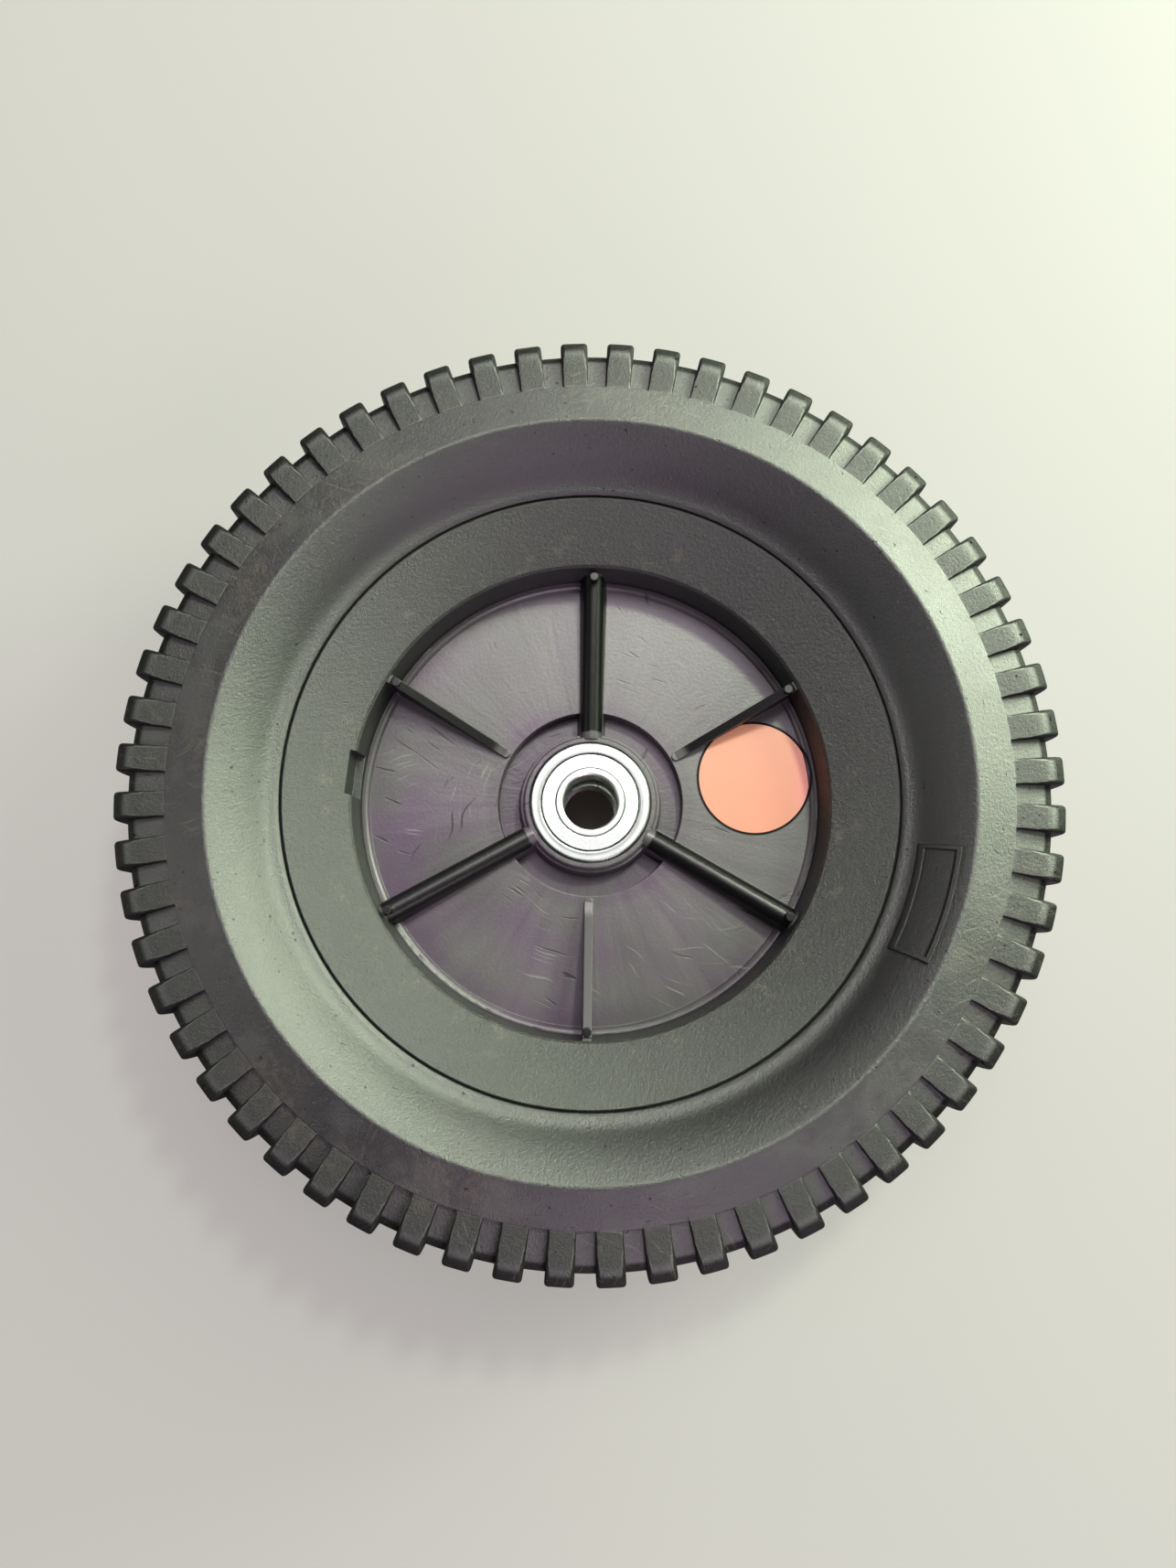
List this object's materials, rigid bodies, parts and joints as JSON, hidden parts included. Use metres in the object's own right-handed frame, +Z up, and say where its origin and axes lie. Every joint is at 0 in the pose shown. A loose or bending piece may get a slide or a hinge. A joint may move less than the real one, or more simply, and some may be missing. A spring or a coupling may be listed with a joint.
{
  "type": "gate wheel",
  "caption": "Moulded gate wheel with a deep-dished tyre, barred tread and two shielded ball bearings for a half-inch axle.",
  "frame": {"origin": "centre of the wheel: on the axle's axis, midway between the tyre's two outermost ridges", "axes": "+Y along the axle from the deep outer side to the inner side where the hub is flush; +Z up; one round spoke points along +Z"},
  "size_m": [0.2046, 0.0524, 0.2046],
  "materials": {
    "tyre_plastic": "satin black moulded plastic with a fine grain",
    "wheel_plastic": "black moulded plastic, grained rim and smoother scratched web",
    "label_film": "fluorescent salmon sticker",
    "race_steel": "ground bearing steel",
    "shield_steel": "bright pressed steel",
    "ball_steel": "polished steel",
    "cage_steel": "pressed steel"
  },
  "bodies": {
    "axle_races": {"front_bearing_inner_race": "race_steel", "rear_bearing_inner_race": "race_steel"},
    "wheel": {"tyre": "tyre_plastic", "wheel_moulding": "wheel_plastic", "label_dot": "label_film", "front_bearing_outer_race": "race_steel", "front_bearing_shield_front": "shield_steel", "front_bearing_shield_rear": "shield_steel", "rear_bearing_outer_race": "race_steel", "rear_bearing_shield_front": "shield_steel", "rear_bearing_shield_rear": "shield_steel"},
    "front_ball_set": {"front_bearing_balls": "ball_steel", "front_bearing_cage_front": "cage_steel", "front_bearing_cage_rear": "cage_steel", "front_bearing_cage_rivets": "cage_steel"},
    "rear_ball_set": {"rear_bearing_balls": "ball_steel", "rear_bearing_cage_front": "cage_steel", "rear_bearing_cage_rear": "cage_steel", "rear_bearing_cage_rivets": "cage_steel"}
  },
  "joints": [
    {"name": "wheel_spin", "type": "hinge", "parent": "axle_races", "child": "wheel", "pos_m": [0, 0, 0], "axis": [0, 1, 0], "continuous": true},
    {"name": "front_ball_set_spin", "type": "hinge", "parent": "axle_races", "child": "front_ball_set", "pos_m": [0, 0.00477, 0], "axis": [0, 1, 0], "continuous": true},
    {"name": "rear_ball_set_spin", "type": "hinge", "parent": "axle_races", "child": "rear_ball_set", "pos_m": [0, 0.02223, 0], "axis": [0, 1, 0], "continuous": true}
  ],
  "couplings": [
    {"joint": "front_ball_set_spin", "follows": "wheel_spin", "ratio": 0.5961},
    {"joint": "rear_ball_set_spin", "follows": "wheel_spin", "ratio": 0.5961}
  ]
}
